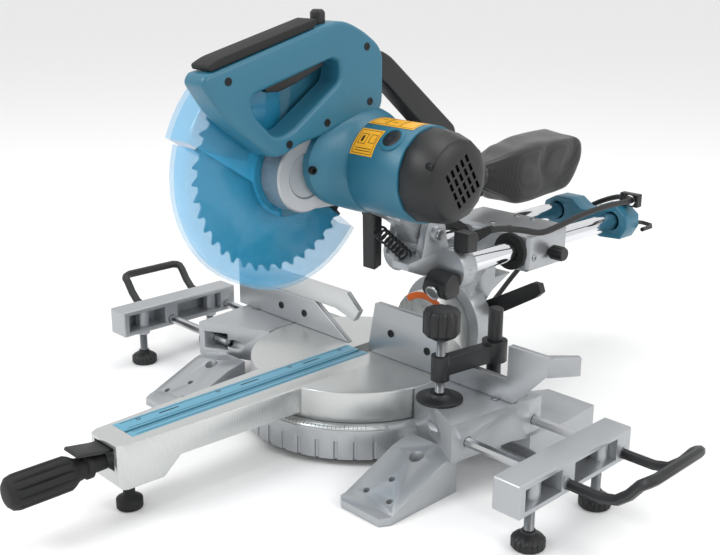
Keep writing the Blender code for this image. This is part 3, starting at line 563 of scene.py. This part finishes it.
def turned_piece(name, profile, place, axis, finish, slot, body, steps=48, **flutes):
    mesh = turned_mesh(profile, steps, **flutes)
    mesh.transform(frame_at(place, axis))
    smooth_by_angle(mesh, 35)
    return piece(name, mesh, finish, body)


def plate(name, outline, axis, low, high, finish, body, width=0.3):
    """A small flat piece with softened edges, in the same terms as the part's outlines."""
    across = "XYZ".index(axis)
    mesh = loft([[(*p[:across], depth, *p[across:]) for p in outline] for depth in (low, high)])
    obj = piece(name, mesh, finish, body)
    bevel = obj.modifiers.new("edge", "BEVEL")
    bevel.width = width * MM
    bevel.segments = 2
    bevel.limit_method = "ANGLE"
    settle(obj)
    return obj


def join(name, objects, finish, body):
    """Several loose shapes as one piece."""
    shape = bmesh.new()
    for obj in objects:
        part = obj.data.copy()
        part.transform(obj.matrix_world)
        shape.from_mesh(part)
        bpy.data.objects.remove(obj)
    mesh = bpy.data.meshes.new(name)
    shape.to_mesh(mesh)
    shape.free()
    return piece(name, mesh, finish, body)


def cap_screw(place, axis, radius, height):
    """A socket head cap screw: rounded rim and a hexagon recess."""
    r, h = radius, height
    profile = [(r * 0.9, 0), (r, h * 0.15), (r, h * 0.8), (r * 0.88, h), (r * 0.56, h)]
    rings = [[(q * math.cos(2 * math.pi * i / 24), q * math.sin(2 * math.pi * i / 24), z) for i in range(24)]
             for q, z in profile]
    for q, z in ((r * 0.52, h - 0.15), (r * 0.5, h * 0.35)):
        ring = []
        for i in range(24):
            a = 2 * math.pi * i / 24
            flat = math.cos(math.pi / 6) / math.cos((a % (math.pi / 3)) - math.pi / 6)
            ring.append((q * flat * math.cos(a), q * flat * math.sin(a), z))
        rings.append(ring)
    mesh = loft(rings)
    mesh.transform(frame_at(place, axis))
    smooth_by_angle(mesh, 30)
    obj = bpy.data.objects.new("screw", mesh)
    bpy.context.scene.collection.objects.link(obj)
    return obj


def screws(name, places, axis, radius, height, body, finish="plain_steel"):
    bpy.context.view_layer.update()
    return join(name, [cap_screw(p, axis, radius, height) for p in places], finish, body)


def tube_curve(name, points, radius, finish, body):
    curve = bpy.data.curves.new(name, "CURVE")
    curve.dimensions = "3D"
    curve.bevel_depth = radius
    curve.bevel_resolution = 4
    curve.use_fill_caps = True
    spline = curve.splines.new("POLY")
    spline.points.add(len(points) - 1)
    for point, p in zip(spline.points, points):
        point.co = (*p, 1)
    spline.use_smooth = True
    obj = bpy.data.objects.new(name, curve)
    bpy.context.scene.collection.objects.link(obj)
    curve.materials.append(FINISHES[finish])
    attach(obj, body)
    return obj


def arc(centre, radius, start, end, count):
    angles = [math.radians(start + (end - start) * i / (count - 1)) for i in range(count)]
    return [(centre[0] + radius * math.cos(a), centre[1] + radius * math.sin(a)) for a in angles]


# Base, fences and clamp

def base_looks():
    dress("base_casting", 1.2)
    dress("mitre_scale", 0.1, "machined_table", 1)
    ticks = []
    for degree in range(-50, 51, 2):
        a = math.radians(-90 + degree)
        inner = 129.0 if degree % 10 == 0 else 131.0
        tick = bmesh.new()
        side = Vector((-math.sin(a), math.cos(a), 0)) * 0.22
        ends = [Vector((math.cos(a) * r, math.sin(a) * r, 46.98 - 0.622 * (r - 127.7)))
                for r in (inner, 133.8)]
        corners = [ends[0] - side, ends[0] + side, ends[1] + side, ends[1] - side]
        tick.faces.new([tick.verts.new((c + Vector((0, 0, 0.06))) * MM) for c in corners])
        mesh = bpy.data.meshes.new("tick")
        tick.to_mesh(mesh)
        tick.free()
        obj = bpy.data.objects.new("tick", mesh)
        bpy.context.scene.collection.objects.link(obj)
        ticks.append(obj)
    bpy.context.view_layer.update()
    join("mitre_scale_marks", ticks, "black_oxide", "root")
    dress("fence_left", 0.9)
    dress("fence_right", 0.9)
    dress("sub_fence", 0.7, "extrusion")
    screws("fence_screws", [(-150, 10.9, 99), (-106, 10.9, 99), (44, 10.9, 112), (100, 10.9, 106)],
           (0, -1, 0), 4.5, 0.9, "root", "black_oxide")
    screws("base_bolts", [(200, 8, 81.2), (214, 40, 81.2), (-200, 8, 81.2), (-214, 40, 81.2)],
           (0, 0, 1), 4.2, 1.6, "root")


def clamp_looks():
    dress("clamp_post", 0.6)
    dress("clamp_arm", 1.5)
    arm = body_of("clamp_arm")
    screws("clamp_arm_screw", [(170, 27.4, 122)], (0.1, -1, 0), 3.5, 1.2, arm, "plain_steel")
    body = body_of("clamp_spindle")
    knob = [(9, 149), (16, 153), (19.5, 157), (19.5, 178), (17.5, 181), (13, 182)]
    low = [(r, h - 165) for r, h in knob]
    obj = turned_piece("clamp_knob", low, (160, -35, 165), (0, 0, 1), "black_plastic", "black_plastic", body,
                       96, flutes=12, depth=1.6, fluted=(1, 2, 3, 4))
    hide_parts("clamp_spindle")
    thread = []
    for i in range(60):
        thread += [(5.0, 90.3 + i), (4.5, 90.8 + i)]
    turned_piece("clamp_thread", [(5.0, 90.3), *thread, (5.0, 150.5)], (160, -35, 0), (0, 0, 1),
                 "plain_steel", "black_plastic", body, 20)
    pad = [(25, 81.7), (25, 84), (24, 84.6), (16, 85.8), (12, 88), (11, 90), (6, 90)]
    obj = turned_piece("clamp_pad_disc", pad, (160, -35, 0), (0, 0, 1), "black_plastic", "black_plastic",
                       body, 96, flutes=32, depth=0.7, fluted=(0, 1))
    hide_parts("clamp_pad")


def wing_looks():
    for word, side in (("left", -1), ("right", 1)):
        dress("wing_" + word, 1.0)
        dress("wing_rod_" + word, 0, "rod")
        for place, y in (("front", -88), ("rear", 22)):
            node = "wing_foot_" + word + "_" + place
            profile = [(15, 0), (16.4, 1.5), (16.4, 8.5), (14, 11), (11, 13), (7.5, 15), (6.5, 17.5)]
            obj = turned_piece(node + "_pad", profile, (side * 320, y, 0), (0, 0, 1), "black_plastic",
                               "black_rubber", node, 72, flutes=18, depth=1.1, fluted=(1, 2, 3))
            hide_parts(node)
            thread = []
            for i in range(38):
                thread += [(5.0, 17 + i), (4.4, 17.5 + i)]
            turned_piece(node + "_stud", thread, (side * 320, y, 0), (0, 0, 1), "plain_steel", "plain_steel",
                         node, 16)


# Turntable

def turntable_looks():
    dress("turntable", 0.9)
    for node in ("kerf_board_left", "kerf_board_right"):
        dress(node, 0.4)
    screws("kerf_screws", [(-17, y, 81.0) for y in (-290, -190, -90, -12)], (0, 0, 1), 2.6, 0.35, "turntable",
           "black_oxide")
    # The kerf slots are not cut: thin black strips laid on the table top are painted shade, for the shade inside
    # the slots
    slots = [(-14, y) for y in (-255, -150, -60)]
    for index, (x, y) in enumerate(slots):
        outline = [(x - 1, y - 12), (x + 1, y - 12), (x + 1, y + 12), (x - 1, y + 12)]
        plate("kerf_slot_painted_shade_" + str(index), outline, "Z", 81.2, 81.42, "black_oxide",
              "turntable", 0.05)
    # The grooves are not cut either: thin black lines laid on the table top are painted shade, for the shade in
    # the grooves
    for index, x in enumerate((-19.6, -5.2, 4.6, 11.4)):
        outline = [(x - 0.4, -310), (x + 0.4, -310), (x + 0.4, 2), (x - 0.4, 2)]
        plate("kerf_groove_painted_shade_" + str(index), outline, "Z", 81.2, 81.38, "black_oxide",
              "turntable", 0.05)
    dress("turntable_pivot", 0)
    dress("bevel_shaft", 0.5)
    dress("arm_foot", 0.6)
    dress("mitre_latch", 1.0)
    grip = [(9, 0), (9, 14), (12.5, 15.5), (12.5, 21), (10.5, 22.5), (11.5, 30), (15.5, 36), (17.3, 40),
            (17.4, 66), (17.4, 90), (15.8, 96), (12, 99.6), (7, 100.8)]
    obj = turned_piece("mitre_grip_moulding", grip, (0, -341.6, 60), (0, -1, 0), "black_rubber",
                       "black_plastic", "mitre_grip", 120, flutes=12, depth=2.2, fluted=(7, 8, 9))
    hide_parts("mitre_grip")
    band = [*arc((0, 81.3), 46.3, 130, 50, 17), *arc((0, 81.3), 38, 50, 130, 17)]
    plate("bevel_scale", band, "Y", 115.4, 116.1, "orange", "turntable", 0.1)


# Tilting arm and carriage

def arm_looks():
    dress("saw_arm", 1.5)
    body = "tilting_arm"
    bolts = [(44 * math.cos(a), 147.9, 81.3 + 44 * math.sin(a)) for a in (0.5, 1.6, 2.7, 3.9, 5.3)]
    screws("drum_bolts", bolts, (0, -1, 0), 4.5, 0.2, body, "plain_steel")
    screws("holder_bolts", [(x, y, 208.6) for x in (36, 62) for y in (200, 250)], (0, 0, 1), 4.0, 1.8, body)
    screws("holder_side_bolts", [(103.6, 198, 178), (103.6, 252, 178)], (1, 0, 0), 4.2, 1.6, body)
    dress("rail_seal_near", 1.2)
    dress("rail_seal_far", 1.2)
    dress("bevel_lever", 2.0)
    knob = [(4, 0), (6, 1.2), (9, 4.5), (9.1, 19), (7.5, 22)]
    obj = turned_piece("slide_lock_knob_grip", knob, (104.8, 228, 181), (1, 0, 0), "black_plastic",
                       "black_plastic", "slide_lock", 72, flutes=10, depth=1.0, fluted=(2, 3))
    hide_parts("slide_lock_knob")


def spring_looks():
    start, end = Vector((47, 31, 201.9)), Vector((47, -15, 240))
    along = (end - start).normalized()
    side = along.cross(Vector((1, 0, 0))).normalized()
    points = []
    coil_radius = 6.8
    turns, per_turn = 8, 24
    for i in range(turns * per_turn + 1):
        a = 2 * math.pi * i / per_turn
        centre = start.lerp(end, i / (turns * per_turn))
        points.append((centre + coil_radius * (math.cos(a) * Vector((1, 0, 0)) + math.sin(a) * side)) * MM)
    guide = tube_curve("spring_guide", points, 1.5 * MM, "black_oxide", "carriage")
    bpy.context.view_layer.update()
    wound = guide.evaluated_get(bpy.context.evaluated_depsgraph_get())
    wound = bpy.data.meshes.new_from_object(wound)
    bpy.data.objects.remove(guide)
    obj = piece("return_spring_coil", wound, "black_oxide", "carriage")
    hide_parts("return_spring")
    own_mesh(obj)


LEAD_ROUTE = [
    (96, 92.8, 222.2), (96.4, 104, 224), (99, 130, 225.5), (105, 166, 219), (111, 200, 211), (112, 240, 214),
    (111, 290, 219), (109, 350, 220), (104, 400, 216), (92, 430, 212), (60, 446, 208), (20, 450, 190),
    (-20, 446, 160), (-55, 430, 118), (-82, 408, 72), (-100, 385, 32), (-108, 362, 12), (-110, 345, 5.2),
    (-112, 325, 4.2), (-114, 319.4, 4.2),
]


def smooth_route(points, spacing):
    route = [Vector(p) for p in points]
    ends = [2 * route[0] - route[1], *route, 2 * route[-1] - route[-2]]
    fine = []
    for a, b, c, d in zip(ends, ends[1:], ends[2:], ends[3:]):
        pieces = max(1, round((c - b).length / spacing))
        for i in range(pieces):
            t = i / pieces
            fine.append(
                0.5 * (2 * b + (c - a) * t + (2 * a - 5 * b + 4 * c - d) * t**2
                       + (3 * b - a - 3 * c + d) * t**3)
            )
    return [*fine, route[-1]]


def lead_looks():
    """The lead's run on the carriage, then its coil and plug on the bench."""
    run = [p * MM for p in smooth_route(LEAD_ROUTE, 9)]
    lead = tube_curve("mains_lead", run, LEAD_DIAMETER / 2, "lead", "carriage")
    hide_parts("lead")
    centre = Vector((-120, 272, 0))
    wire = 7.7
    points = []
    rows = [(43, 0), (35, 0), (35, 1), (43, 1), (43, 2), (35, 2)]
    per_turn = 40
    for row, (radius, level) in enumerate(rows):
        for i in range(per_turn):
            t = i / per_turn
            blend = max(0.0, (t - 0.75) / 0.25)
            blend = blend * blend * (3 - 2 * blend)
            after = rows[min(row + 1, len(rows) - 1)]
            r = radius + (after[0] - radius) * blend
            z = 4.2 + wire * (level + (after[1] - level) * blend)
            a = math.radians(83) + 2 * math.pi * t
            points.append((centre + Vector((r * math.cos(a), r * math.sin(a), z))) * MM)
    coil = tube_curve("mains_lead_coil", points, LEAD_DIAMETER / 2, "lead", "root")
    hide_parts("lead_coil")
    plug = dress("lead_plug", 2.0, "black_rubber")
    pins = []
    for x in (-110, -92):
        pins.append(cap_screw((x, 196.2, 15), (0, 1, 0), 2.4, 0.5))
    bpy.context.view_layer.update()
    pins = join("plug_pin_shrouds", pins, "plain_steel", "root")
    dress("cord_gland", 1.2)
    dress("cord_clip", 0.5)
    boot = [(6.9, 0)]
    for ring in range(7):
        radius = 6.8 - 0.32 * ring
        boot += [(radius, 1.5 + 4 * ring), (radius - 0.1, 3.6 + 4 * ring), (radius - 1.1, 4 + 4 * ring),
                 (radius - 1.2, 5.2 + 4 * ring)]
    turned_piece("lead_strain_relief", [*boot, (4.3, 32)], (96, 89.5, 221.8), (0.035, 0.986, 0.16),
                 "black_rubber", "black_rubber", "carriage", 32)


def carriage_looks():
    dress("rail_near", 0.6)
    dress("rail_far", 0.6)
    dress("carriage", 1.4)
    dress("rear_bracket", 2.0)
    dress("cord_hook", 0)
    dress("pivot_shaft", 0.5)
    dress("lamp_housing", 1.0)
    dress("lamp_lens", 0.4)
    body = "carriage"
    screws("rail_bolts", [(80, 431.9, 185), (-8, 431.9, 185)], (0, 1, 0), 8.0, 0.6, body, "black_oxide")
    screws("ring_screw", [(103.2, 78, 185)], (1, 0, 0), 3.6, 0.8, body)
    turned_piece("lamp_bezel", [(9, 0), (9, 1.4), (7.6, 2.0), (6.6, 1.2)], (83, 37.2, 164.6),
                 (0, -0.928, -0.37), "plain_steel", "plain_steel", body, 40)
    spring_looks()


# Head

def split_mesh(mesh, y, keep_rear):
    """Keeps the half of a closed mesh behind or before a plane across Y, and closes it."""
    shape = bmesh.new()
    shape.from_mesh(mesh)
    whole = shape.verts[:] + shape.edges[:] + shape.faces[:]
    made = bmesh.ops.bisect_plane(shape, geom=whole, plane_co=(0, y, 0), plane_no=(0, 1, 0), dist=1e-6,
                                  clear_inner=keep_rear, clear_outer=not keep_rear)
    rim = [g for g in made["geom_cut"] if isinstance(g, bmesh.types.BMEdge)]
    bmesh.ops.contextual_create(shape, geom=rim)
    shape.to_mesh(mesh)
    shape.free()


def guard_looks():
    guard = dress("upper_guard", 1.6)
    front = guard.data.copy()
    split_mesh(guard.data, -0.128, True)
    split_mesh(front, -0.128, False)
    front = piece("upper_guard_window", front, "clear_guard", "head")
    smooth_by_angle(front.data, 40)
    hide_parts("upper_guard")
    dress("lower_guard", 0.5, segments=1)
    case = dress("gear_case", 1.2)
    hub = turned_mesh([(60, 0), (60, 40)], 48)
    hub.transform(frame_at((42, *BLADE_AXIS), (1, 0, 0)))
    cut_out(case, [tool_of(hub)])
    boss = [(38, 0), (38, 2.4), (36.5, 4), (24, 4.4), (22, 2.6), (12, 2.6)]
    turned_piece("gear_case_boss", boss, (41.9, *BLADE_AXIS), (1, 0, 0), "cast_silver", "cast_silver", "head", 64)
    dress("blade", 0.12, "blade", 1)
    dress("arbor", 0.5)
    tips = []
    for tooth in range(40):
        tips.append(tool_of(block((2.3, 2.2, 5.2), (0, -0.9, 105.2), 2 * math.pi * tooth / 40, BLADE_AXIS)))
    bpy.context.view_layer.update()
    join("carbide_tips", tips, "plain_steel", "blade")


def motor_looks():
    dress("motor_housing", 1.5)
    dress("armature", 0.5)
    y, z = MOTOR_AXIS
    body = "head"
    rings = []
    flange = [(40, 1.0, 51), (41.5, 1.04, 52.5), (53, 1.02, 52.5), (59, 0.8, 52), (63, 0.42, 51.4),
              (67, 0.12, 50.8), (70, 0, 50.2)]
    for x, share, base in flange:
        ring = []
        for i in range(72):
            a = 2 * math.pi * i / 72
            reach = base + share * (33 * max(0, math.cos(a - 3.05)) ** 4 + 7 * max(0, math.cos(a - 1.7)) ** 2)
            ring.append((x, y + reach * math.cos(a), z + reach * math.sin(a)))
        rings.append(ring)
    mesh = loft(rings)
    smooth_by_angle(mesh, 35)
    piece("motor_flange", mesh, "teal_housing", body)
    flange_screws = [(54, -119, 322), (54, -60, 366), (54, 8, 283), (54, 2, 357)]
    screws("flange_screws", flange_screws, (1, 0, 0), 4.2, 5.5, body, "black_oxide")
    piece("motor_label_side", curved_label(71, 102, 122, 158, 50.3), "label", body)
    piece("motor_label_top", curved_label(70, 132, 84, 112, 50.3), "label", body)
    marks = []
    frames = [(73, 100, 124, 156), (76, 86, 130, 144), (90, 98, 130, 142), (72, 90, 86, 110),
              (92, 110, 86, 110), (112, 130, 86, 110)]
    line, bend = 0.5, 0.6
    for low, high, start, end in frames:
        marks += [(low, high, start, start + bend), (low, high, end - bend, end),
                  (low, low + line, start, end), (high - line, high, start, end)]
    marks += [(76, 98, 149, 149.8), (76, 98, 152, 152.8), (79, 82, 133, 141), (77, 84, 95, 96),
              (97, 104, 101, 102)]
    marks = [tool_of(curved_label(*mark, 50.4)) for mark in marks]
    bpy.context.view_layer.update()
    join("motor_label_print", marks, "black_oxide", body)
    out = Vector((0, math.cos(BRUSH_ANGLE), math.sin(BRUSH_ANGLE)))
    brush = Vector((118, y, z)) + 50 * out
    turned_piece("brush_boss", [(14, -5), (14, 0.4), (12.6, 1.8), (10.6, 1.8), (10.4, 0.8)], brush, out,
                 "teal_housing", "teal_housing", body, 48)
    turned_piece("brush_cap", [(10, -2), (10, 1.2), (9, 1.7), (3, 1.7), (2.4, 1.0)], brush, out,
                 "black_plastic", "black_plastic", body, 48)
    cap = dress("motor_cap", 2.2, segments=3)
    slots = []
    for row in range(4):
        for k in range(-2, 3):
            across, along = -16.5 + 11 * row, 8.0 * k
            if math.hypot(across, along) > 25:
                continue
            slots.append(tool_of(block((7, 4.0, 8.6), (182, along, across), math.radians(32), MOTOR_AXIS)))
    cut_out(cap, slots)
    screws("cap_screws", [(168, y + 36, z - 18), (168, y - 36, z + 18)], (1, 0, 0), 4.0, 8.0, body,
           "black_oxide")


def curved_label(low, high, start, end, radius):
    """A thin printed plate bent round the motor housing."""
    y, z = MOTOR_AXIS
    rings = []
    for x in (low, high):
        inner = [(x, y + (radius - 0.25) * math.cos(a), z + (radius - 0.25) * math.sin(a))
                 for a in (math.radians(start + (end - start) * i / 12) for i in range(13))]
        outer = [(x, y + radius * math.cos(a), z + radius * math.sin(a))
                 for a in (math.radians(end + (start - end) * i / 12) for i in range(13))]
        rings.append(inner + outer)
    return loft(rings)


def handle_looks():
    outline = [(-236, 427.5), (-110, 462), (-77, 468), (-48, 456), (-20, 437), (-20, 367.8), (-66, 367.8),
               (-112, 354), (-133, 350.5), (-167, 337), (-228, 384), (-251, 417), (-246, 426)]
    opening = [(-196, 402), (-91, 431), (-81, 425), (-82, 408), (-148, 363), (-167, 360), (-192, 384)]
    handle = piece("handle_moulding", side_prism(rounded(outline, 20), 26, 58), "teal_housing",
                   "head")
    cut_out(handle, [tool_of(side_prism(rounded(opening, 10), 10, 80))])
    soft_edges(handle, 4.5, 4)
    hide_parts("handle_housing")
    cover = [(-240, 427.7), (-112, 462.2), (-110, 470.5), (-230, 439), (-242, 433)]
    grip = piece("grip_cover", side_prism(rounded(cover, 6), 28, 56), "black_rubber", "head")
    soft_edges(grip, 3.5, 4)
    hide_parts("soft_grip")
    bar = [(-19.6, 436), (-1, 428), (107, 342), (110, 330), (104, 318.4), (68, 320.4), (60, 341), (-8, 399),
           (-19.6, 405)]
    carry = piece("carry_bar", side_prism(rounded(bar, 16), 26, 50), "black_plastic", "head")
    soft_edges(carry, 8, 5)
    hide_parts("carry_handle")
    ribs = []
    for k in range(7):
        y = 4 + 5.5 * k
        z = 428 - (y + 1) * 86 / 108
        mesh = side_prism([(y - 3, z - 0.5), (y, z + 1.6), (y + 3, z - 5.3), (y + 1, z - 6)], 31, 45)
        ribs.append(tool_of(mesh))
    bpy.context.view_layer.update()
    join("carry_bar_ribs", ribs, "black_rubber", "head")
    dress("trigger", 1.0)
    dress("lock_button", 0.8)
    dress("dust_chute", 1.0)
    dress("dust_port", 1.0)
    body = "head"
    spots = [(58.0, -222, 418), (58.0, -150, 352), (58.0, -40, 384), (58.0, -100, 368), (58.0, -45, 440)]
    screws("handle_screws", spots, (1, 0, 0), 4.0, 0.6, body, "black_oxide")


def bag_looks():
    """The dust bag: a slack pouch with folds, drawn in to a pleated mouth and a cuff."""
    node = frame["nodes"]["dust_bag"]
    mesh = node.data.copy()
    obj = piece("dust_bag_cloth", mesh, "bag_fabric", "head")
    remesh = obj.modifiers.new("even", "REMESH")
    remesh.mode = "VOXEL"
    remesh.voxel_size = 0.0045
    settle(obj)
    low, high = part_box("dust_bag")
    mouth = Vector((-0.009, low.y, 0.2615))
    for v in obj.data.vertices:
        along = (v.co.y - low.y) / (high.y - low.y)
        near = 1 - min(1, along / 0.32)
        near = near * near * (3 - 2 * near)
        v.co.x = mouth.x + (v.co.x - mouth.x) * (1 - 0.42 * near)
        v.co.z = mouth.z + (v.co.z - mouth.z) * (1 - 0.38 * near)
    shape = bmesh.new()
    shape.from_mesh(obj.data)
    bmesh.ops.smooth_vert(shape, verts=shape.verts, factor=0.6, use_axis_x=True, use_axis_y=True,
                          use_axis_z=True)
    shape.normal_update()
    moves = []
    for v in shape.verts:
        p = v.co
        along = (p.y - low.y) / (high.y - low.y)
        fold = noise.noise(Vector((p.x * 14, p.y * 9 + p.z * 6, p.z * 26)))
        crease = 1 - min(1, 3.2 * abs(noise.noise(Vector((p.x * 10 + 5, p.y * 13 - p.z * 9, p.z * 17)))))
        round_mouth = math.atan2(p.z - 0.27, p.x + 0.009)
        pleat = math.cos(round_mouth * 14) * max(0.0, 1 - along * 3.2)
        moves.append(-0.003 + 0.0035 * fold - 0.0035 * crease * (0.3 + along) + 0.0022 * pleat)
    for v, move in zip(shape.verts, moves):
        v.co += v.normal * move
    shape.to_mesh(obj.data)
    shape.free()
    smooth = obj.modifiers.new("smooth", "SMOOTH")
    smooth.factor = 0.5
    smooth.iterations = 6
    settle(obj, 80)
    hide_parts("dust_bag")
    cuff = [(17.4, -13), (19.2, -12), (19.6, -4), (22, 4), (21, 12), (17, 14)]
    mesh = turned_mesh(cuff, 72, flutes=18, depth=0.8, fluted=(3, 4))
    mesh.transform(frame_at((-9, 206, 262.2), (0, 0.953, -0.303)))
    smooth_by_angle(mesh, 40)
    piece("dust_bag_cuff", mesh, "bag_fabric", "head")


add_camera()
lead_looks()
add_studio()
base_looks()
clamp_looks()
wing_looks()
turntable_looks()
arm_looks()
carriage_looks()
guard_looks()
motor_looks()
handle_looks()
bag_looks()

bpy.context.view_layer.update()
